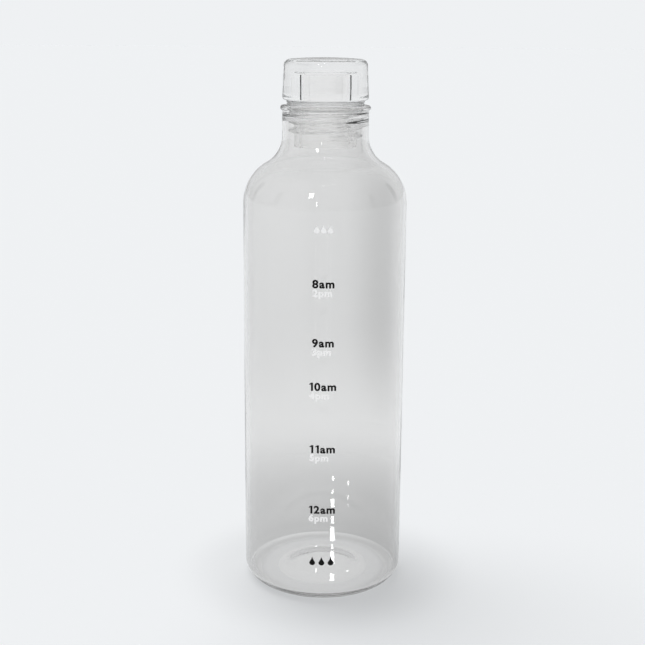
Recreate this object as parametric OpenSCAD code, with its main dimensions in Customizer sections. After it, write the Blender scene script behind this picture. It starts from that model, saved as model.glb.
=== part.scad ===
// Glass water bottle with a screw-in stopper, standing on its base.
// Origin: centre of the base, on the surface it stands on. +Z runs up the bottle's axis.
// Lengths are in millimetres.

/* [Body] */
// Outer diameter of the straight body
body_d = 80; // [76:1:84]
// Height at which the straight body ends and the shoulder begins
shoulder_z = 193; // [150:1:230]
// Thickness of the glass wall
wall_t = 2; // [1.6:0.1:2.2]
// Thickness of the glass under the floor of the inside
base_t = 4; // [3.5:0.1:6]
// Radius of the rounded edge round the bottom
heel_r = 8; // [6:0.5:9]
// Radius of the corner between the inside wall and the floor
floor_corner_r = 2.5; // [1.5:0.5:4]
// Diameter of the shallow hollow under the base
punt_d = 46; // [36:1:50]
// Depth of the hollow under the base
punt_h = 1.2; // [0.6:0.1:1.6]

/* [Shoulder and neck] */
// Radius of the outward curve of the shoulder
shoulder_r = 22.5; // [20:0.5:24]
// Radius of the inward curve between shoulder and neck
flare_r = 15; // [12:0.5:17]
// Outer diameter of the neck
neck_d = 42; // [41:0.5:43]
// Diameter across the widest part of the rim
rim_d = 43.8; // [43.6:0.1:45]
// Height of the rim's widest part above the base of the shoulder
rim_rise = 45.9; // [44:0.1:48]
// Height from the rim's widest part up to its sealing edge
rim_slope_h = 1.4; // [1.3:0.1:1.8]
// Radius of the rim's widest part
rim_bead_r = 1.25; // [1.15:0.05:1.3]
// Radius of the rim's sealing edge
rim_edge_r = 0.7; // [0.5:0.1:0.8]

/* [Screw thread] */
// Rise of the thread in one turn
pitch = 4.2; // [3.8:0.1:4.6]
// Turns of thread on the stopper
plug_turns = 2.5; // [2:0.25:2.5]
// Turns of thread inside the neck
neck_turns = 1.25; // [1:0.25:1.5]
// How far the thread inside the neck stands out from the wall
neck_thread_h = 1.6; // [1.2:0.1:1.8]
// How far the stopper's thread stands out
plug_thread_h = 2.9; // [2.5:0.1:3]

/* [Stopper] */
// Diameter of the knob at its foot
knob_d = 41.8; // [40:0.1:43]
// Diameter of the knob at its top
knob_top_d = 40.4; // [39:0.1:41.5]
// Height of the knob
knob_h = 20.2; // [17:0.1:22]
// Height of the knob's foot above the widest part of the rim
knob_gap = 3.6; // [3.5:0.1:4.5]
// Radius of the rounded edge round the top of the knob
knob_top_r = 3.4; // [2:0.1:4]
// Radius of the rounded edge round the foot of the knob
knob_foot_r = 1.6; // [1:0.1:2.6]
// How far the middle of the knob's top stands above its edge
knob_dome_h = 0.7; // [0.4:0.1:1]
// Outer diameter of the plug between the thread's turns
plug_d = 30.2; // [29.8:0.1:30.6]
// Diameter of the hollow up the middle of the stopper
hollow_d = 22.8; // [20:0.1:24]
// Length of the plug below the foot of the knob
plug_h = 22.5; // [21.5:0.1:24]
// Thickness of the solid top of the knob above the hollow
crown_t = 6.9; // [5:0.1:8]
// Diameter of the collar that carries the seal ring
collar_d = 32.8; // [32.2:0.1:33.2]
// Height of that collar
collar_h = 5.6; // [4.5:0.1:6]

/* [Seal ring] */
// Height of the seal ring
ring_h = 3.5; // [3:0.1:3.8]
// Radius of the seal ring's rounded edges
ring_edge_r = 0.6; // [0.3:0.1:0.8]
// Space left between the seal ring and each part next to it
ring_gap = 0.15; // [0.1:0.05:0.25]

/* [Hidden] */
$fn = 96;
arc_step = 6;

body_r = body_d / 2;
neck_r = neck_d / 2;
mouth_r = neck_r - wall_t;
punt_r = punt_d / 2;
plug_r = plug_d / 2;
hollow_r = hollow_d / 2;
collar_r = collar_d / 2;

// Centres of the curves of the shoulder and the flare in the half section
// [radius, height], and the direction from one to the other, where they meet
shoulder_c = [body_r - shoulder_r, shoulder_z];
flare_x = neck_r + flare_r;
flare_rise = sqrt(pow(shoulder_r + flare_r, 2) - pow(flare_x - shoulder_c[0], 2));
flare_c = shoulder_c + [flare_x - shoulder_c[0], flare_rise];
meet_a = atan2(flare_rise, flare_x - shoulder_c[0]);

// Centres of the rim's two round edges, the direction of the slope between them, and
// the direction in which the lower one meets the neck
rim_z = shoulder_z + rim_rise;
bead_c = [rim_d / 2 - rim_bead_r, rim_z];
edge_c = [mouth_r + rim_edge_r, rim_z + rim_slope_h - rim_edge_r];
edge_way = edge_c - bead_c;
slope_a = atan2(edge_way[1], edge_way[0]) - acos((rim_bead_r - rim_edge_r) / norm(edge_way));
bead_a = -acos((neck_r - bead_c[0]) / rim_bead_r);

// Foot and top of the knob, end of the plug and ceiling of the stopper's hollow
knob_z = rim_z + knob_gap;
top_z = knob_z + knob_h;
plug_z = knob_z - plug_h;
ceiling_z = top_z - crown_t;

// Threads: heights of their starts, the angle they start at, and their ridges' widths
thread_start_a = -60;
plug_thread_z = plug_z + 5.4;
neck_thread_z = plug_thread_z + 1.5 * pitch;
ridge_foot = 1.7;
ridge_tip = 0.8;
ridge_sunk = 0.6;
fade_turn = 0.12;
turn_steps = 40;

// Points of an arc of radius r about c, from angle a0 to angle a1
function arc(c, r, a0, a1) =
    let (n = ceil(abs(a1 - a0) / arc_step))
        [for (i = [0:n]) let (a = a0 + (a1 - a0) * i / n) c + r * [cos(a), sin(a)]];

// One face of the glass from the bottom corner up to the neck. inset 0 is the outside and
// inset wall_t the inside, so the wall has the same thickness all the way.
function glass_face(inset, floor_z, corner_r) = concat(
    arc([body_r - inset - corner_r, floor_z + corner_r], corner_r, -90, 0),
    arc(shoulder_c, shoulder_r - inset, 0, meet_a),
    arc(flare_c, flare_r + inset, 180 + meet_a, 180)
);

function reversed(points) = [for (i = [len(points) - 1:-1:0]) points[i]];

// Corners of one slice of a thread: [radius, height] with its foot sunk into foot_r's wall
// and its tip stand away from the wall. side is 1 outward and -1 inward.
function slice(foot_r, stand, side) = [
    [foot_r - side * ridge_sunk, -ridge_foot / 2],
    [foot_r + side * stand, -ridge_tip / 2],
    [foot_r + side * stand, ridge_tip / 2],
    [foot_r - side * ridge_sunk, ridge_foot / 2]
];

// How much of its full height the thread has at t turns, rising and dying away at its ends
function fade(t, turns) = min(1, (0.05 + t) / fade_turn, (0.05 + turns - t) / fade_turn);

// Right-hand helical ridge of the given turns
module ridge(foot_r, stand, side, turns) {
    steps = round(turns * turn_steps);
    points = [
        for (i = [0:steps])
            let (t = i / turn_steps, a = thread_start_a + 360 * t)
                for (p = slice(foot_r, stand * fade(t, turns), side))
                    [p[0] * cos(a), p[0] * sin(a), p[1] + pitch * t]
    ];
    sides = [
        for (i = [0:steps - 1], k = [0:3])
            let (a = 4 * i + k, b = 4 * i + (k + 1) % 4)
                each [[a, b, a + 4], [b, b + 4, a + 4]]
    ];
    ends = [[2, 1, 0], [3, 2, 0], [4 * steps, 4 * steps + 1, 4 * steps + 2],
        [4 * steps, 4 * steps + 2, 4 * steps + 3]];
    faces = concat(sides, ends);
    polyhedron(points, side > 0 ? faces : [for (f = faces) [f[2], f[1], f[0]]]);
}

module bottle() {
    section = concat(
        [[0, punt_h], [punt_r - 2 * punt_h, punt_h], [punt_r, 0]],
        glass_face(0, 0, heel_r),
        arc(bead_c, rim_bead_r, bead_a, slope_a),
        arc(edge_c, rim_edge_r, slope_a, 180),
        reversed(glass_face(wall_t, base_t, floor_corner_r)),
        [[0, base_t]]
    );
    color("azure", 0.35)
        union() {
            rotate_extrude()
                polygon(section);
            translate([0, 0, neck_thread_z])
                ridge(mouth_r, neck_thread_h, -1, neck_turns);
        }
}

// Half section of the knob's outer shape: a slight taper, rounded edges and a domed top
module knob_outline() {
    foot_c = [knob_d / 2 - knob_foot_r, knob_foot_r];
    head_c = [knob_top_d / 2 - knob_top_r, knob_h - knob_dome_h - knob_top_r];
    dome_r = (pow(head_c[0], 2) + pow(knob_dome_h, 2)) / (2 * knob_dome_h);
    dome_a = acos(head_c[0] / dome_r);
    polygon(concat(
        [[0, 0]],
        arc(foot_c, knob_foot_r, -90, 0),
        arc(head_c, knob_top_r, 0, dome_a),
        arc([0, knob_h - dome_r], dome_r, dome_a, 90)
    ));
}

module lid_knob() {
    color("aliceblue", 0.5)
        translate([0, 0, knob_z])
            difference() {
                rotate_extrude()
                    knob_outline();
                translate([0, 0, -1])
                    cylinder(r = hollow_r, h = ceiling_z - knob_z + 1);
            }
}

module lid_plug() {
    color("lightcyan", 0.5)
        union() {
            difference() {
                union() {
                    translate([0, 0, plug_z])
                        cylinder(r = plug_r, h = plug_h);
                    translate([0, 0, knob_z - collar_h])
                        cylinder(r = collar_r, h = collar_h);
                }
                translate([0, 0, plug_z - 1])
                    cylinder(r = hollow_r, h = plug_h + 2);
            }
            translate([0, 0, plug_thread_z])
                ridge(plug_r, plug_thread_h, 1, plug_turns);
        }
}

module seal_ring() {
    inner_r = collar_r + ring_gap;
    outer_r = mouth_r - ring_gap;
    ring_z = knob_z - ring_gap - ring_h;
    color("white", 0.6)
        translate([0, 0, ring_z])
            rotate_extrude() {
                translate([inner_r, 0])
                    square([outer_r - inner_r - ring_edge_r, ring_h]);
                translate([inner_r, ring_edge_r])
                    square([outer_r - inner_r, ring_h - 2 * ring_edge_r]);
                for (z = [ring_edge_r, ring_h - ring_edge_r])
                    translate([outer_r - ring_edge_r, z])
                        circle(ring_edge_r);
            }
}

bottle();
lid_knob();
lid_plug();
seal_ring();
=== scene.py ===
import math
import bmesh
import bpy
from mathutils import Matrix, Vector


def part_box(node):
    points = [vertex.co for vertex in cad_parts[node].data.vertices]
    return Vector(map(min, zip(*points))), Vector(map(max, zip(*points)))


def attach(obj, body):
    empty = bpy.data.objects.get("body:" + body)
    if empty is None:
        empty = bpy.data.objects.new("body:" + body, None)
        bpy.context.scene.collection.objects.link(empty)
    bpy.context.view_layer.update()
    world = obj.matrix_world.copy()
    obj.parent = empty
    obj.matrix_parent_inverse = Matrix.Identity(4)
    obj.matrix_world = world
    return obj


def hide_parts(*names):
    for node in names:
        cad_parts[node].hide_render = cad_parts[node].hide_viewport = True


# Glass water bottle: a clear glass body with printed hour marks, a clear stopper that
# screws into its neck, and the silicone ring that seals it. Lengths are in metres.

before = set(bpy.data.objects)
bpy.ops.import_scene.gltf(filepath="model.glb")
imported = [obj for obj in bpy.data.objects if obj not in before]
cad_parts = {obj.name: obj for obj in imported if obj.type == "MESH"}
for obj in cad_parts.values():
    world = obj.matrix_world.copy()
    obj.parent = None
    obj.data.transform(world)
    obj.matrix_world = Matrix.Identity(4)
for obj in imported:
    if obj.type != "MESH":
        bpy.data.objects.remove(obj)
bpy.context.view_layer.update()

bottleLow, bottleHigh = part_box("bottle")
knobLow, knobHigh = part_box("lid_knob")
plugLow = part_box("lid_plug")[0]
ringLow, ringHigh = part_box("seal_ring")
bodyRadius = (bottleHigh.x - bottleLow.x) / 2

around = 240


# A half section is drawn in the XZ plane: x is the distance from the axis
def startAt(bm, radius, height):
    return bm.verts.new((radius, 0, height))


def lineTo(bm, corner, radius, height, cuts=0):
    start = corner.co.copy()
    end = Vector((radius, 0, height))
    for part in range(cuts + 1):
        drawn = bmesh.ops.extrude_vert_indiv(bm, verts=[corner])
        corner = drawn["verts"][0]
        corner.co = start.lerp(end, (part + 1) / (cuts + 1))
    return corner


# Turns the corner about a centre (radius, height); positive is from outward towards up
def arcTo(bm, corner, centre, degrees, steps):
    swept = bmesh.ops.spin(
        bm, geom=[corner], cent=(centre[0], 0, centre[1]), axis=(0, -1, 0),
        angle=math.radians(degrees), steps=steps)
    return swept["geom_last"][0]


# An S of two equal arcs, level at both ends
def easeTo(bm, corner, run, rise, steps=6):
    turn = 2 * math.atan2(abs(rise), abs(run))
    bend = abs(run) / 2 / math.sin(turn)
    way = math.copysign(1, run) * math.copysign(1, rise)
    degrees = math.degrees(turn) * way
    up = math.copysign(bend, rise)
    mid = arcTo(bm, corner, (corner.co.x, corner.co.z + up), degrees, steps)
    ending = (corner.co.x + run, corner.co.z + rise - up)
    return arcTo(bm, mid, ending, -degrees, steps)


def turned(bm, steps=around):
    bmesh.ops.spin(
        bm, geom=bm.verts[:] + bm.edges[:], cent=(0, 0, 0), axis=(0, 0, 1),
        angle=2 * math.pi, steps=steps, use_merge=True)
    bmesh.ops.remove_doubles(bm, verts=bm.verts, dist=1e-7)
    bmesh.ops.recalc_face_normals(bm, faces=bm.faces)


def pieceFrom(bm, name, material):
    mesh = bpy.data.meshes.new(name)
    bm.to_mesh(mesh)
    bm.free()
    mesh.materials.append(material)
    mesh.polygons.foreach_set("use_smooth", [True] * len(mesh.polygons))
    piece = bpy.data.objects.new(name, mesh)
    bpy.context.scene.collection.objects.link(piece)
    return piece


def hideFrom(piece, *rays):
    for ray in rays:
        setattr(piece, "visible_" + ray, False)


# Materials
def newMaterial(name):
    material = bpy.data.materials.new(name)
    material.use_nodes = True
    nodes = material.node_tree.nodes
    return material, nodes, material.node_tree.links, nodes["Principled BSDF"]


def noiseField(nodes, links, stretch, scale, detail=2.0):
    place = nodes.new("ShaderNodeTexCoord")
    mapping = nodes.new("ShaderNodeMapping")
    mapping.inputs["Scale"].default_value = stretch
    noise = nodes.new("ShaderNodeTexNoise")
    noise.inputs["Scale"].default_value = scale
    noise.inputs["Detail"].default_value = detail
    links.new(place.outputs["Object"], mapping.inputs["Vector"])
    links.new(mapping.outputs["Vector"], noise.inputs["Vector"])
    return noise.outputs["Fac"]


def rangedTo(nodes, links, field, low, high, start=0.3, end=0.7, ease="LINEAR"):
    ranged = nodes.new("ShaderNodeMapRange")
    ranged.interpolation_type = ease
    ranged.inputs["From Min"].default_value = start
    ranged.inputs["From Max"].default_value = end
    ranged.inputs["To Min"].default_value = low
    ranged.inputs["To Max"].default_value = high
    links.new(field, ranged.inputs["Value"])
    return ranged.outputs["Result"]


# Distance of a point from the origin
def reachOf(nodes, links):
    place = nodes.new("ShaderNodeTexCoord")
    reach = nodes.new("ShaderNodeVectorMath")
    reach.operation = "LENGTH"
    links.new(place.outputs["Object"], reach.inputs[0])
    return reach.outputs["Value"]


def axesOf(nodes, links):
    place = nodes.new("ShaderNodeTexCoord")
    axes = nodes.new("ShaderNodeSeparateXYZ")
    links.new(place.outputs["Object"], axes.inputs["Vector"])
    return axes.outputs


def joined(nodes, links, operation, first, second):
    both = nodes.new("ShaderNodeMath")
    both.operation = operation
    links.new(first, both.inputs[0])
    links.new(second, both.inputs[1])
    return both.outputs["Value"]


# What is left of 1
def lessOf(nodes, links, amount):
    rest = nodes.new("ShaderNodeMath")
    rest.operation = "SUBTRACT"
    rest.inputs[0].default_value = 1
    links.new(amount, rest.inputs[1])
    return rest.outputs["Value"]


def bumpInto(nodes, links, shader, fields):
    last = None
    for field, strength, distance in fields:
        bump = nodes.new("ShaderNodeBump")
        bump.inputs["Strength"].default_value = strength
        bump.inputs["Distance"].default_value = distance
        links.new(field, bump.inputs["Height"])
        if last:
            links.new(last, bump.inputs["Normal"])
        last = bump.outputs["Normal"]
    links.new(last, shader.inputs["Normal"])


def clearInto(shader, look):
    shader.inputs["Base Color"].default_value = look["tint"]
    shader.inputs["IOR"].default_value = look["bend"]
    shader.inputs["Transmission Weight"].default_value = look["clear"]


def absorbInto(nodes, links, look):
    body = nodes.new("ShaderNodeVolumeAbsorption")
    body.inputs["Color"].default_value = look["absorbs"]
    body.inputs["Density"].default_value = look["density"]
    links.new(body.outputs["Volume"], nodes["Material Output"].inputs["Volume"])


glassLook = {
    "tint": (0.94, 0.935, 0.928, 1),
    "bend": 1.47,
    "clear": 1,
    "absorbs": (0.5, 0.49, 0.48, 1),
    "density": 15.0,
    "polish": 0.0,
    "waves": 0.00012,
    "waveScale": 28,
    "drawLines": 0.000012,
    "lineScale": 260,
}


def blownGlass():
    look = glassLook
    material, nodes, links, shader = newMaterial("blownGlass")
    clearInto(shader, look)
    shader.inputs["Roughness"].default_value = look["polish"]
    waves = noiseField(nodes, links, (1, 1, 0.5), look["waveScale"], 1.0)
    drawLines = noiseField(nodes, links, (1, 1, 0.03), look["lineScale"], 1.0)
    bumpInto(nodes, links, shader, [
        (waves, 1.0, look["waves"]), (drawLines, 1.0, look["drawLines"])])
    absorbInto(nodes, links, look)
    return material


acrylicLook = {
    "tint": (0.965, 0.958, 0.952, 1),
    "bend": 1.49,
    "clear": 1,
    "absorbs": (0.7, 0.74, 0.74, 1),
    "density": 3.0,
    "polish": 0.0,
    "ripple": 0.00006,
    "rippleScale": 90,
}


def clearAcrylic():
    look = acrylicLook
    material, nodes, links, shader = newMaterial("clearAcrylic")
    clearInto(shader, look)
    shader.inputs["Roughness"].default_value = look["polish"]
    ripple = noiseField(nodes, links, (1, 1, 1), look["rippleScale"], 1.0)
    bumpInto(nodes, links, shader, [(ripple, 1.0, look["ripple"])])
    absorbInto(nodes, links, look)
    return material


# Light passes through, softened by a fine grain and an uneven roughness
def frostInto(nodes, links, shader, look):
    clearInto(shader, look)
    grain = noiseField(nodes, links, (1, 1, 1), look["grainScale"], 2.0)
    bumpInto(nodes, links, shader, [(grain, 1.0, look["grain"])])
    worn = noiseField(nodes, links, (1, 1, 1), look["wornScale"], 3.0)
    links.new(
        rangedTo(nodes, links, worn, look["smoothest"], look["roughest"]), shader.inputs["Roughness"])


plasticLook = {
    "tint": (1, 0.998, 0.995, 1),
    "bend": 1.2,
    "clear": 1.0,
    "grain": 0.00001,
    "grainScale": 1400,
    "wornScale": 220,
    "smoothest": 0.16,
    "roughest": 0.24,
}


def frostedPlastic():
    material, nodes, links, shader = newMaterial("frostedPlastic")
    frostInto(nodes, links, shader, plasticLook)
    return material


siliconeLook = {
    "tint": (1, 1, 1, 1),
    "bend": 1.22,
    "clear": 0.94,
    "grain": 0.00002,
    "grainScale": 1800,
    "wornScale": 300,
    "smoothest": 0.28,
    "roughest": 0.42,
}


def softSilicone():
    material, nodes, links, shader = newMaterial("softSilicone")
    frostInto(nodes, links, shader, siliconeLook)
    return material


inkLook = {"speckleScale": 2600, "smoothest": 0.5, "roughest": 0.7, "grain": 0.00001}


def firedInk(name, look):
    material, nodes, links, shader = newMaterial(name)
    speckle = noiseField(nodes, links, (1, 1, 1), inkLook["speckleScale"], 3.0)
    shade = nodes.new("ShaderNodeMix")
    shade.data_type = "RGBA"
    shade.inputs["A"].default_value = look["dark"]
    shade.inputs["B"].default_value = look["light"]
    links.new(rangedTo(nodes, links, speckle, 0, 1), shade.inputs["Factor"])
    links.new(shade.outputs["Result"], shader.inputs["Base Color"])
    rough = rangedTo(nodes, links, speckle, inkLook["smoothest"], inkLook["roughest"])
    links.new(rough, shader.inputs["Roughness"])
    bumpInto(nodes, links, shader, [(speckle, 0.5, inkLook["grain"])])
    shader.inputs["Specular IOR Level"].default_value = look["shine"]
    shader.inputs["Alpha"].default_value = look["cover"]
    # The glow is painted light that makes the ink look brighter than the lamps light it
    shader.inputs["Emission Color"].default_value = (1, 1, 1, 1)
    shader.inputs["Emission Strength"].default_value = look["paintedGlow"]
    return material


blackInk = {
    "dark": (0.004, 0.004, 0.004, 1),
    "light": (0.012, 0.012, 0.012, 1),
    "cover": 1.0,
    "shine": 0.08,
    "paintedGlow": 0,
}
# The white ink's glow is painted light that lifts the white marks
whiteInk = {
    "dark": (0.88, 0.88, 0.88, 1),
    "light": (0.95, 0.95, 0.95, 1),
    "cover": 0.75,
    "shine": 0.3,
    "paintedGlow": 0.13,
}


# One helical ridge: how far it stands out at a turn and a height, from 0 to 1.
# firstHeight is its middle at firstAngle, and it climbs by pitch a turn, right-handed.
def threadStand(thread, angle, height):
    lead = (math.degrees(angle) - thread["firstAngle"]) / 360 % 1.0
    rise = (height - thread["firstHeight"]) / thread["pitch"]
    turn = lead + round(rise - lead)
    fade = min(turn + thread["fade"], thread["turns"] - turn + thread["fade"])
    fade = max(0.0, min(1.0, fade / (2 * thread["fade"])))
    away = abs(rise - turn) * thread["pitch"]
    slope = max(0.0, min(1.0, (away - thread["tip"] / 2) / thread["flank"]))
    return math.sin(fade * math.pi / 2) * (1 + math.cos(slope * math.pi)) / 2


def cutThread(bm, wallRadius, thread, outward):
    low = thread["firstHeight"] - thread["pitch"]
    high = thread["firstHeight"] + thread["pitch"] * (thread["turns"] + 1)
    for vert in bm.verts:
        reach = math.hypot(vert.co.x, vert.co.y)
        if abs(reach - wallRadius) < 1e-5 and low < vert.co.z < high:
            stand = threadStand(thread, math.atan2(vert.co.y, vert.co.x), vert.co.z)
            part = 1 + outward * stand * thread["height"] / reach
            vert.co.x *= part
            vert.co.y *= part


plugThread = {
    "pitch": 0.0042, "turns": 2.5, "firstAngle": -60,
    "firstHeight": plugLow.z + 0.0054,
    "height": 0.0029, "tip": 0.0004, "flank": 0.0017, "fade": 0.1, "margin": 0.35,
}
neckThread = {
    "pitch": 0.0042, "turns": 1.25, "firstAngle": -60,
    "firstHeight": plugLow.z + 0.0054 + 1.5 * 0.0042,
    "height": 0.0011, "tip": 0.0002, "flank": 0.0018, "fade": 0.16, "margin": 0.4,
}
rowHeight = 0.00013


# Lowest and highest heights that the ridge needs fine rows for
def threadSpan(thread):
    low = thread["firstHeight"] - thread["pitch"] * thread["margin"]
    high = thread["firstHeight"] + thread["pitch"] * (thread["turns"] + thread["margin"])
    return low, high


bottleForm = {
    "wall": 0.002,
    "base": 0.004,
    "heel": 0.008,
    "floorCorner": 0.0012,
    "puntRadius": 0.023,
    "puntHeight": 0.0012,
    "puntEase": 0.011,
    "straightTop": 0.193,
    "shoulder": 0.0225,
    "flare": 0.015,
    "neckRadius": 0.021,
    "rimRadius": 0.0219,
    "rimBead": 0.00125,
    "rimEdge": 0.0007,
    "rimSlope": 0.0014,
}


def threadRows(bm, corner, radius, low, high, up):
    rows = round((high - low) / rowHeight)
    return lineTo(bm, corner, radius, high if up else low, rows)


def makeBottle():
    form = bottleForm
    wall, heel, corner = form["wall"], form["heel"], form["floorCorner"]
    neck = form["neckRadius"]
    mouth = neck - wall
    shoulderAt = Vector((bodyRadius - form["shoulder"], form["straightTop"]))
    across = neck + form["flare"] - shoulderAt.x
    climb = math.sqrt((form["shoulder"] + form["flare"]) ** 2 - across ** 2)
    flareAt = shoulderAt + Vector((across, climb))
    meet = math.degrees(math.atan2(climb, across))
    edgeAt = Vector((mouth + form["rimEdge"], bottleHigh.z - form["rimEdge"]))
    beadAt = Vector((form["rimRadius"] - form["rimBead"], bottleHigh.z - form["rimSlope"]))
    way = edgeAt - beadAt
    slope = math.atan2(way.y, way.x) - math.acos((form["rimBead"] - form["rimEdge"]) / way.length)
    beadStart = -math.acos((neck - beadAt.x) / form["rimBead"])

    bm = bmesh.new()
    at = startAt(bm, 0, form["puntHeight"])
    at = lineTo(bm, at, form["puntRadius"] - form["puntEase"], form["puntHeight"], 6)
    at = easeTo(bm, at, form["puntEase"], -form["puntHeight"])
    at = lineTo(bm, at, bodyRadius - heel, 0, 2)
    at = arcTo(bm, at, (bodyRadius - heel, heel), 90, 22)
    at = lineTo(bm, at, bodyRadius, shoulderAt.y, 30)
    at = arcTo(bm, at, shoulderAt, meet, 22)
    at = arcTo(bm, at, flareAt, -meet, 18)
    at = lineTo(bm, at, neck, beadAt.y + math.sin(beadStart) * form["rimBead"], 4)
    at = arcTo(bm, at, beadAt, math.degrees(slope - beadStart), 12)
    slopeEnd = edgeAt + Vector((math.cos(slope), math.sin(slope))) * form["rimEdge"]
    at = lineTo(bm, at, slopeEnd.x, slopeEnd.y, 1)
    at = arcTo(bm, at, edgeAt, 180 - math.degrees(slope), 10)
    threadFoot, threadTop = threadSpan(neckThread)
    at = lineTo(bm, at, mouth, threadTop, 2)
    at = threadRows(bm, at, mouth, threadFoot, threadTop, False)
    at = lineTo(bm, at, mouth, flareAt.y, 2)
    at = arcTo(bm, at, flareAt, meet, 18)
    at = arcTo(bm, at, shoulderAt, -meet, 22)
    inner = bodyRadius - wall
    at = lineTo(bm, at, inner, form["base"] + corner, 30)
    at = arcTo(bm, at, (inner - corner, form["base"] + corner), -90, 10)
    lineTo(bm, at, 0, form["base"], 10)
    turned(bm)
    cutThread(bm, mouth, neckThread, -1)
    piece = pieceFrom(bm, "bottleGlass", blownGlass())
    hideFrom(piece, "diffuse")
    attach(piece, "bottle")
    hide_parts("bottle")
    return piece


knobForm = {
    "footRound": 0.0016,
    "headRadius": 0.0202,
    "headRound": 0.0034,
    "dome": 0.0007,
    "crown": 0.0069,
    "hollowTop": 0.0113,
    "hollowFoot": 0.0112,
    "hollowRound": 0.0016,
}


def makeKnob():
    form = knobForm
    ceiling = knobHigh.z - form["crown"]
    footRound, headRound = form["footRound"], form["headRound"]
    bm = bmesh.new()
    at = startAt(bm, 0, ceiling)
    at = lineTo(bm, at, form["hollowTop"] - form["hollowRound"], ceiling, 6)
    roundAt = (form["hollowTop"] - form["hollowRound"], ceiling - form["hollowRound"])
    at = arcTo(bm, at, roundAt, -90, 10)
    at = lineTo(bm, at, form["hollowFoot"], knobLow.z, 8)
    at = lineTo(bm, at, knobHigh.x - footRound, knobLow.z, 4)
    at = arcTo(bm, at, (knobHigh.x - footRound, knobLow.z + footRound), 90, 14)
    headCentre = Vector((form["headRadius"] - headRound, knobHigh.z - form["dome"] - headRound))
    at = lineTo(bm, at, form["headRadius"], headCentre.y, 8)
    domeRadius = (headCentre.x ** 2 + form["dome"] ** 2) / (2 * form["dome"])
    domeStart = math.degrees(math.acos(headCentre.x / domeRadius))
    at = arcTo(bm, at, headCentre, domeStart, 18)
    rise = knobHigh.z - at.co.z
    domeRadius = (at.co.x ** 2 + rise ** 2) / (2 * rise)
    domeStart = math.degrees(math.atan2(domeRadius - rise, at.co.x))
    arcTo(bm, at, (0, knobHigh.z - domeRadius), 90 - domeStart, 14)
    turned(bm)
    piece = pieceFrom(bm, "clearKnob", clearAcrylic())
    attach(piece, "lid")
    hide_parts("lid_knob")
    return piece


plugForm = {
    "radius": 0.0151,
    "edge": 0.0005,
    "bore": 0.0114,
    "boreFoot": 0.0118,
    "collarRadius": 0.0164,
    "collarHeight": 0.0056,
    "collarEase": 0.0004,
    "gap": 0.00002,
}


def makePlug():
    form = plugForm
    edge = form["edge"]
    top = knobLow.z - form["gap"]
    bm = bmesh.new()
    first = startAt(bm, form["bore"], top)
    at = lineTo(bm, first, form["boreFoot"], plugLow.z + edge, 12)
    at = arcTo(bm, at, (form["boreFoot"] + edge, plugLow.z + edge), 90, 6)
    at = lineTo(bm, at, form["radius"] - edge, plugLow.z, 2)
    at = arcTo(bm, at, (form["radius"] - edge, plugLow.z + edge), 90, 6)
    threadFoot, threadTop = threadSpan(plugThread)
    at = lineTo(bm, at, form["radius"], threadFoot, 3)
    at = threadRows(bm, at, form["radius"], threadFoot, threadTop, True)
    collarLow = knobLow.z - form["collarHeight"]
    at = lineTo(bm, at, form["radius"], collarLow - form["collarEase"])
    at = lineTo(bm, at, form["collarRadius"] - form["collarEase"], collarLow)
    at = lineTo(bm, at, form["collarRadius"], collarLow + form["collarEase"])
    at = lineTo(bm, at, form["collarRadius"], top, 4)
    at = lineTo(bm, at, form["bore"] + 0.0001, top, 2)
    bm.edges.new((at, first))
    turned(bm)
    cutThread(bm, form["radius"], plugThread, 1)
    piece = pieceFrom(bm, "frostedPlug", frostedPlastic())
    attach(piece, "lid")
    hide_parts("lid_plug")
    return piece


sealForm = {"inner": 0.01655, "edge": 0.0005, "waist": 0.00035, "lobes": 2, "lobeSteps": 12, "around": 160}


def makeSeal():
    form = sealForm
    inner = form["inner"]
    outer = ringHigh.x
    edge = form["edge"]
    lobe = (ringHigh.z - ringLow.z - 2 * edge) / form["lobes"]
    bm = bmesh.new()
    first = startAt(bm, inner, ringLow.z)
    at = lineTo(bm, first, outer - edge, ringLow.z, 3)
    at = arcTo(bm, at, (outer - edge, ringLow.z + edge), 90, 6)
    for count in range(form["lobes"]):
        foot = ringLow.z + edge + lobe * count
        for part in range(form["lobeSteps"]):
            turn = (part + 1) / form["lobeSteps"]
            dip = form["waist"] * (1 - math.cos(turn * 2 * math.pi)) / 2
            at = lineTo(bm, at, outer - dip, foot + lobe * turn)
    at = arcTo(bm, at, (outer - edge, ringHigh.z - edge), 90, 6)
    at = lineTo(bm, at, inner, ringHigh.z, 3)
    bm.edges.new((at, first))
    turned(bm, form["around"])
    piece = pieceFrom(bm, "sealRing", softSilicone())
    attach(piece, "seal")
    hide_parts("seal_ring")
    return piece


# Printed marks: an hour scale, and drops for full and empty in place of words
markForm = {
    "lift": 0.00003,
    "ink": 0.00003,
    "digit": 0.0053,
    "squeeze": 1.06,
    "oneSide": 0.035,
    "space": 0.07,
    "weight": 0.0002,
    "lean": -0.00045,
    "secondDrop": 0.0041,
    "secondSize": 0.88,
    "flagLength": 0.26,
    "flagThick": 0.1,
    "flagOut": 0.03,
    "flagTurn": 38,
    "dropTaper": 0.75,
    "fullDrops": (0.0026, 3, 0.0032),
    "emptyDrops": (0.0029, 3, 0.0045),
}
hourMarks = [
    ("8am", "2pm", 0.1586), ("9am", "3pm", 0.1304), ("10am", "4pm", 0.1091),
    ("11am", "5pm", 0.0781), ("12am", "6pm", 0.0473),
]
fullHeight, emptyHeight = 0.1853, 0.0217


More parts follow.
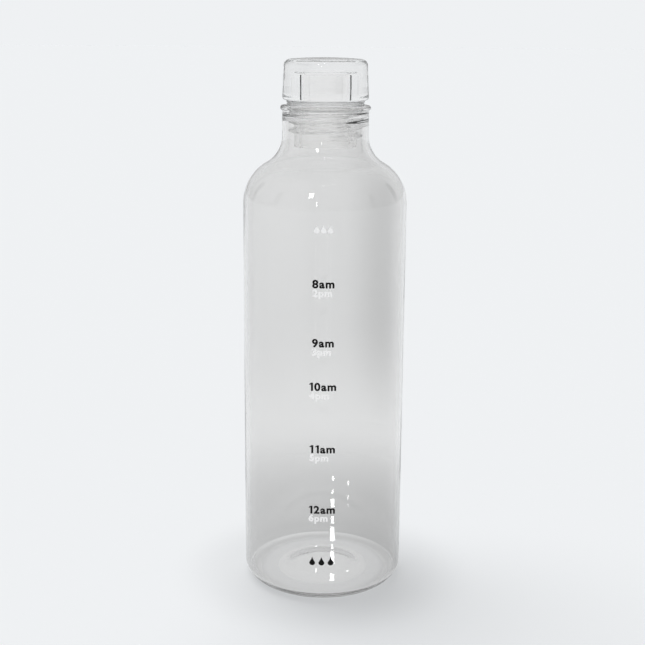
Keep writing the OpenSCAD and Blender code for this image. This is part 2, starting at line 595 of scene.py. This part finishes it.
def flatGlyph(words, size):
    curve = bpy.data.curves.new("mark", "FONT")
    curve.body = words
    curve.size = size
    curve.offset = markForm["weight"]
    curve.extrude = markForm["ink"] / 2
    holder = bpy.data.objects.new("mark", curve)
    bpy.context.scene.collection.objects.link(holder)
    bpy.context.view_layer.update()
    finished = holder.evaluated_get(bpy.context.evaluated_depsgraph_get())
    mesh = bpy.data.meshes.new_from_object(finished)
    bpy.data.objects.remove(holder)
    bm = bmesh.new()
    bm.from_mesh(mesh)
    bpy.data.meshes.remove(mesh)
    bmesh.ops.remove_doubles(bm, verts=bm.verts, dist=1e-8)
    return bm


# The slanting flag at the top of a 1
def addFlag(bm, size):
    form = markForm
    low, high = markSpan(bm)
    top = max(vert.co.y for vert in bm.verts)
    flag = bmesh.ops.create_cube(bm, size=1)
    sized = Matrix.Diagonal((size * form["flagLength"], size * form["flagThick"], form["ink"], 1))
    place = Matrix.Translation((low - size * form["flagOut"], top - size * form["flagThick"], 0))
    turn = Matrix.Rotation(math.radians(form["flagTurn"]), 4, "Z")
    bmesh.ops.transform(bm, matrix=place @ turn @ sized, verts=flag["verts"])


# Adds a mark's mesh to a larger one
def addTo(whole, bm):
    mesh = bpy.data.meshes.new("mark")
    bm.to_mesh(mesh)
    bm.free()
    whole.from_mesh(mesh)
    bpy.data.meshes.remove(mesh)


# Letters side by side
def flatText(words, size):
    line = bmesh.new()
    cursor = 0
    for letter in words:
        bm = flatGlyph(letter, size)
        if letter == "1":
            addFlag(bm, size)
        low, high = markSpan(bm)
        side = size * markForm["oneSide"] if letter == "1" else 0
        bmesh.ops.translate(bm, vec=(cursor + side - low, 0, 0), verts=bm.verts)
        cursor += high - low + 2 * side + size * markForm["space"]
        addTo(line, bm)
    return line


# A row of drops
def flatDrops(size, number, step):
    bm = bmesh.new()
    for count in range(number):
        drop = bmesh.ops.create_circle(bm, cap_ends=True, radius=size / 2, segments=40)
        for vert in drop["verts"]:
            if vert.co.y > 0:
                lift = vert.co.y / (size / 2)
                vert.co.x *= 1 - markForm["dropTaper"] * lift ** 1.5
                vert.co.y *= 1 + lift ** 2
        bmesh.ops.translate(bm, vec=(step * (count - (number - 1) / 2), 0, 0), verts=drop["verts"])
    solid = bmesh.ops.extrude_face_region(bm, geom=bm.faces[:])
    raised = [item for item in solid["geom"] if isinstance(item, bmesh.types.BMVert)]
    bmesh.ops.translate(bm, vec=(0, 0, markForm["ink"]), verts=raised)
    bmesh.ops.recalc_face_normals(bm, faces=bm.faces)
    return bm


# Lays a flat mark on the front of the glass. Its own x runs round the body.
def wrapMark(bm, left, height):
    radius = bodyRadius + markForm["lift"] + markForm["ink"] / 2
    for vert in bm.verts:
        out = radius + vert.co.z
        turn = (vert.co.x + left) / bodyRadius
        vert.co = (out * math.sin(turn), -out * math.cos(turn), vert.co.y + height)


def markSpan(bm):
    across = [vert.co.x for vert in bm.verts]
    return min(across), max(across)


def joinMarks(marks, name, material):
    whole = bmesh.new()
    for bm in marks:
        addTo(whole, bm)
    piece = pieceFrom(whole, name, material)
    piece.data.polygons.foreach_set("use_smooth", [False] * len(piece.data.polygons))
    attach(piece, "bottle")
    return piece


def makeMarks():
    form = markForm
    dark, light = [], []
    for morning, evening, height in hourMarks:
        first = flatText(morning, form["digit"])
        bmesh.ops.scale(first, vec=(form["squeeze"], 1, 1), verts=first.verts)
        low, high = markSpan(first)
        left = form["lean"] - (high - low) / 2
        wrapMark(first, left - low, height)
        dark.append(first)
        second = flatText(evening, form["digit"] * form["secondSize"])
        bmesh.ops.scale(second, vec=(form["squeeze"], 1, 1), verts=second.verts)
        wrapMark(second, left - markSpan(second)[0], height - form["secondDrop"])
        light.append(second)
    full = flatDrops(*form["fullDrops"])
    wrapMark(full, form["lean"], fullHeight)
    light.append(full)
    empty = flatDrops(*form["emptyDrops"])
    wrapMark(empty, form["lean"], emptyHeight)
    dark.append(empty)
    joinMarks(dark, "darkMarks", firedInk("blackInk", blackInk))
    joinMarks(light, "lightMarks", firedInk("whiteInk", whiteInk))


# Camera, at the same height and distance as a person who looks at a bottle on a table
cameraForm = {
    "distance": 0.56,
    "height": 0.27,
    "pitch": 12.2,
    "yaw": 0.09,
    "roll": 0.4,
    "lens": 64.2,
    "shift": -0.05,
}


def makeCamera():
    form = cameraForm
    data = bpy.data.cameras.new("camera")
    data.lens = form["lens"]
    data.sensor_width = 36
    data.shift_y = form["shift"]
    camera = bpy.data.objects.new("camera", data)
    look = Matrix.Rotation(math.radians(90 - form["pitch"]), 4, "X")
    turn = Matrix.Rotation(math.radians(form["yaw"]), 4, "Z")
    tilt = Matrix.Rotation(math.radians(form["roll"]), 4, "Z")
    stand = Matrix.Translation((0, -form["distance"], form["height"]))
    camera.matrix_world = stand @ turn @ look @ tilt
    bpy.context.scene.collection.objects.link(camera)
    bpy.context.scene.camera = camera


studio = {
    "paper": (0.863, 0.880, 0.896, 1),
    "floorRadius": 60.0,
    "glossy": 0.45,
    "soft": 0.65,
    "sunPower": 1.3,
    "sunAngle": 62,
    "sunSide": 20,
    "sunBack": -25,
    "bounces": 32,
    "mirrorBounces": 12,
    "softBounces": 4,
}


# The glass keeps the lamp off the floor under it, so the floor there gets that light back as painted light,
# and the floor round the base gets a painted shade for the soft shade that sky light leaves out
floorForm = {
    "lit": 0.24,
    "litTo": 0.029,
    "litEnd": 0.035,
    "shade": 0.9,
    "shadeEnd": 0.085,
}


def makeFloor():
    form = floorForm
    bm = bmesh.new()
    bmesh.ops.create_circle(bm, cap_ends=True, radius=studio["floorRadius"], segments=64)
    material, nodes, links, shader = newMaterial("paleFloor")
    reach = reachOf(nodes, links)
    # Painted shade: the floor darkens towards the base
    shade = rangedTo(nodes, links, reach, form["shade"], 1, bodyRadius, form["shadeEnd"], "SMOOTHERSTEP")
    tint = nodes.new("ShaderNodeMix")
    tint.data_type = "RGBA"
    tint.inputs["A"].default_value = (0, 0, 0, 1)
    tint.inputs["B"].default_value = studio["paper"]
    links.new(shade, tint.inputs["Factor"])
    links.new(tint.outputs["Result"], shader.inputs["Base Color"])
    # Painted light: the floor glows under the glass
    lit = rangedTo(nodes, links, reach, form["lit"], 0, form["litTo"], form["litEnd"])
    shader.inputs["Emission Color"].default_value = studio["paper"]
    links.new(lit, shader.inputs["Emission Strength"])
    shader.inputs["Roughness"].default_value = 0.9
    shader.inputs["Specular IOR Level"].default_value = 0
    pieceFrom(bm, "floor", material)


# Clear grey screens seen only through glass: one lies round the base and one stands
# round the bottle. They are painted shade: they give the glass its soft bands, darker low down and at the
# right.
screenForm = {
    "lift": 0.0003,
    "lowFrom": 0.0405,
    "lowTo": 0.24,
    "lowFade": 0.07,
    "lowShade": 0.7,
    "leanFrom": -0.02,
    "leanTo": 0.05,
    "leanLeft": 0.97,
    "leanRight": 1.3,
    "reach": 0.17,
    "foot": 0.0005,
    "high": 0.27,
    "fallFrom": 0.165,
    "fadeHigh": 0.1,
    "cloudScale": 11,
    "shade": 0.86,
    "veil": 0.05,
    "bandFrom": 0.01,
    "bandTo": 0.05,
    "bandShade": 0.77,
    "bandEnd": 0.055,
    "bandGone": 0.09,
}


def screenMaterial(name):
    material = bpy.data.materials.new(name)
    material.use_nodes = True
    nodes, links = material.node_tree.nodes, material.node_tree.links
    nodes.remove(nodes["Principled BSDF"])
    clear = nodes.new("ShaderNodeBsdfTransparent")
    links.new(clear.outputs["BSDF"], nodes["Material Output"].inputs["Surface"])
    return material, nodes, links, clear.inputs["Color"]


def makeScreen(name, start, end, material):
    bm = bmesh.new()
    at = startAt(bm, *start)
    lineTo(bm, at, *end)
    bmesh.ops.spin(
        bm, geom=bm.verts[:] + bm.edges[:], cent=(0, 0, 0), axis=(0, 0, 1),
        angle=2 * math.pi, steps=96, use_merge=True)
    screen = pieceFrom(bm, name, material)
    hideFrom(screen, "camera", "diffuse", "glossy", "shadow")


def makeLowShadeScreen():
    form = screenForm
    material, nodes, links, colour = screenMaterial("lowShadeScreen")
    reach, axes = reachOf(nodes, links), axesOf(nodes, links)
    # Painted shade, darkest near the base and stronger towards the right
    low = rangedTo(
        nodes, links, reach, 1 - form["lowShade"], 0, form["lowFade"], form["lowTo"], "SMOOTHSTEP")
    lean = rangedTo(
        nodes, links, axes["X"], form["leanLeft"], form["leanRight"],
        form["leanFrom"], form["leanTo"], "SMOOTHSTEP")
    shade = joined(nodes, links, "MULTIPLY", low, lean)
    links.new(lessOf(nodes, links, shade), colour)
    makeScreen("lowShadeScreen", (form["lowFrom"], form["lift"]), (form["lowTo"], form["lift"]), material)


def makeTallShadeScreen():
    form = screenForm
    material, nodes, links, colour = screenMaterial("tallShadeScreen")
    axes = axesOf(nodes, links)
    # Painted shade: a mottle and a darker band at the right, fading out low down and high up
    clouds = noiseField(nodes, links, (1, 1, 0.35), form["cloudScale"], 1.0)
    mottle = rangedTo(nodes, links, clouds, 1 - form["shade"], form["veil"], 0.35, 0.65)
    near = rangedTo(
        nodes, links, axes["X"], 0, 1 - form["bandShade"], form["bandFrom"], form["bandTo"], "SMOOTHSTEP")
    far = rangedTo(nodes, links, axes["X"], 1, 0, form["bandEnd"], form["bandGone"])
    band = joined(nodes, links, "MULTIPLY", near, far)
    shade = joined(nodes, links, "ADD", mottle, band)
    rise = rangedTo(nodes, links, axes["Z"], 0, 1, 0, form["fadeHigh"], "SMOOTHSTEP")
    fall = rangedTo(nodes, links, axes["Z"], 1, 0, form["fallFrom"], form["high"], "SMOOTHSTEP")
    tall = joined(nodes, links, "MULTIPLY", rise, fall)
    links.new(lessOf(nodes, links, joined(nodes, links, "MULTIPLY", shade, tall)), colour)
    makeScreen("tallShadeScreen", (form["reach"], form["foot"]), (form["reach"], form["high"]), material)


# Dark cards beside the top of the bottle: they draw the dark lines that thick clear
# pieces have at their edges
flagForm = {
    "reach": 0.2,
    "low": 0.19,
    "full": 0.23,
    "high": 0.3,
    "shade": 0.03,
    "sides": [67.5, 112.5, 247.5, 292.5],
    "sideWidth": 0.027,
}


def makeFlags():
    form = flagForm
    bm = bmesh.new()
    for turn in form["sides"]:
        card = bmesh.ops.create_grid(bm, x_segments=1, y_segments=1, size=0.5)
        sized = Matrix.Diagonal((form["sideWidth"], form["high"] - form["low"], 1, 1))
        lift = Matrix.Translation((0, form["reach"], (form["low"] + form["high"]) / 2))
        stand = Matrix.Rotation(math.radians(turn), 4, "Z") @ lift @ Matrix.Rotation(math.pi / 2, 4, "X")
        bmesh.ops.transform(bm, matrix=stand @ sized, verts=card["verts"])
    material, nodes, links, shader = newMaterial("blackCard")
    cover = rangedTo(nodes, links, axesOf(nodes, links)["Z"], 0, 1, form["low"], form["full"])
    links.new(cover, shader.inputs["Alpha"])
    shader.inputs["Base Color"].default_value = (form["shade"],) * 3 + (1,)
    shader.inputs["Roughness"].default_value = 0.9
    shader.inputs["Specular IOR Level"].default_value = 0
    flags = pieceFrom(bm, "flags", material)
    hideFrom(flags, "camera", "diffuse", "glossy", "shadow")


# Small bright cards that show only as highlights on the glass. Each faces the shoulder:
# azimuth from the front towards the right, elevation, distance, width and height. The
# strips lie on the floor: turn, nearest and farthest distance, and part of the full width.
glintForm = {
    "aim": 0.2,
    "strength": 18.0,
    "cards": [
        (-21, 34, 1.2, 0.12, 0.24),
        (-11, 14, 1.4, 0.03, 0.26),
        (-3, 60, 1.2, 0.05, 0.04),
        (-3, 70, 1.2, 0.04, 0.03),
        (19, 62, 1.2, 0.04, 0.04),
        (36, 74, 1.2, 0.03, 0.03),
        (-40, 46, 1.2, 0.016, 0.016),
        (-31, 38, 1.2, 0.014, 0.014),
        (44, 44, 1.2, 0.014, 0.014),
    ],
    "strips": [
        (14, 0.0217, 0.0306, 1.1), (14, 0.041, 0.0575, 0.9), (14, 0.060, 0.066, 0.5),
        (14, 0.070, 0.089, 1.1), (14, 0.093, 0.104, 0.8), (14, 0.117, 0.130, 0.9),
        (14, 0.137, 0.145, 0.5), (14, 0.160, 0.168, 0.6), (37, 0.150, 0.158, 0.4),
        (37, 0.128, 0.134, 0.3), (37, 0.117, 0.120, 0.25), (37, 0.030, 0.033, 0.35),
        (-9, 0.032, 0.036, 0.4), (-9, 0.062, 0.065, 0.3),
    ],
    "dimStrength": 1.6,
    "dimStrips": [
        (-12, 0.5, 1.1, 0.3), (-6, 0.62, 1.0, 0.14), (4, 0.45, 1.2, 0.2), (9, 0.5, 1.1, 0.16),
    ],
    "stripFoot": 0.0022,
    "stripSpread": 0.1,
}


def addCards(bm):
    form = glintForm
    for azimuth, elevation, distance, wide, high in form["cards"]:
        card = bmesh.ops.create_grid(bm, x_segments=1, y_segments=1, size=0.5)
        sized = Matrix.Rotation(math.pi / 2, 4, "X") @ Matrix.Diagonal((wide, high, 1, 1))
        out = Matrix.Rotation(math.radians(-elevation), 4, "X") @ Matrix.Translation((0, -distance, 0))
        place = Matrix.Translation((0, 0, form["aim"])) @ Matrix.Rotation(math.radians(azimuth), 4, "Z")
        bmesh.ops.transform(bm, matrix=place @ out @ sized, verts=card["verts"])


# Each strip leads away from the front of the glass
def addStrips(bm, strips):
    form = glintForm
    for turn, near, far, part in strips:
        half = math.radians(turn / 2)
        foot = Matrix.Translation((bodyRadius * math.sin(half), -bodyRadius * math.cos(half), 0.001))
        middle = Matrix.Rotation(math.radians(turn), 4, "Z") @ Matrix.Translation((0, -(near + far) / 2, 0))
        card = bmesh.ops.create_grid(bm, x_segments=1, y_segments=1, size=0.5)
        wide = (form["stripFoot"] + form["stripSpread"] * (near + far) / 2) * part
        bmesh.ops.transform(
            bm, matrix=foot @ middle @ Matrix.Diagonal((wide, far - near, 1, 1)), verts=card["verts"])


def glintPiece(bm, name, strength):
    material, nodes, links, shader = newMaterial(name)
    shader.inputs["Base Color"].default_value = (0, 0, 0, 1)
    shader.inputs["Emission Color"].default_value = (1, 1, 1, 1)
    shader.inputs["Emission Strength"].default_value = strength
    glints = pieceFrom(bm, name, material)
    hideFrom(glints, "camera", "diffuse", "transmission", "shadow")


def makeGlints():
    bright = bmesh.new()
    addCards(bright)
    addStrips(bright, glintForm["strips"])
    glintPiece(bright, "brightGlints", glintForm["strength"])
    dim = bmesh.new()
    addStrips(dim, glintForm["dimStrips"])
    glintPiece(dim, "dimGlints", glintForm["dimStrength"])


# The paper's tone for the camera and through glass, dimmer in reflections and on surfaces
def makeWorld():
    world = bpy.data.worlds.new("studio")
    bpy.context.scene.world = world
    world.use_nodes = True
    nodes, links = world.node_tree.nodes, world.node_tree.links
    paper = nodes["Background"]
    paper.inputs["Color"].default_value = studio["paper"]
    room = nodes.new("ShaderNodeBackground")
    room.inputs["Color"].default_value = (1, 1, 1, 1)
    room.inputs["Strength"].default_value = studio["glossy"]
    soft = nodes.new("ShaderNodeBackground")
    soft.inputs["Color"].default_value = (1, 1, 1, 1)
    soft.inputs["Strength"].default_value = studio["soft"]
    path = nodes.new("ShaderNodeLightPath")
    mirrored = nodes.new("ShaderNodeMixShader")
    glossy, through = path.outputs["Is Glossy Ray"], path.outputs["Is Transmission Ray"]
    reflected = joined(nodes, links, "SUBTRACT", glossy, through)
    reflected.node.use_clamp = True
    links.new(reflected, mirrored.inputs["Fac"])
    links.new(paper.outputs["Background"], mirrored.inputs[1])
    links.new(room.outputs["Background"], mirrored.inputs[2])
    lit = nodes.new("ShaderNodeMixShader")
    links.new(path.outputs["Is Diffuse Ray"], lit.inputs["Fac"])
    links.new(mirrored.outputs["Shader"], lit.inputs[1])
    links.new(soft.outputs["Background"], lit.inputs[2])
    links.new(lit.outputs["Shader"], nodes["World Output"].inputs["Surface"])


def makeLights():
    sun = bpy.data.lights.new("softSun", "SUN")
    sun.energy = studio["sunPower"]
    sun.angle = math.radians(studio["sunAngle"])
    lamp = bpy.data.objects.new("softSun", sun)
    side = Matrix.Rotation(math.radians(studio["sunSide"]), 4, "Y").inverted()
    lamp.matrix_world = side @ Matrix.Rotation(math.radians(studio["sunBack"]), 4, "X")
    hideFrom(lamp, "glossy", "transmission")
    bpy.context.scene.collection.objects.link(lamp)


makeCamera()
print("camera set")
makeBottle()
print("bottle made")
makeKnob()
makePlug()
print("stopper made")
makeSeal()
print("seal ring made")
makeMarks()
print("marks printed")
makeFloor()
makeLowShadeScreen()
makeTallShadeScreen()
makeFlags()
makeGlints()
makeWorld()
makeLights()
scene = bpy.context.scene
scene.view_settings.view_transform = "Standard"
scene.cycles.max_bounces = studio["bounces"]
scene.cycles.transmission_bounces = studio["bounces"]
scene.cycles.glossy_bounces = studio["mirrorBounces"]
scene.cycles.diffuse_bounces = studio["softBounces"]
print("studio lit")
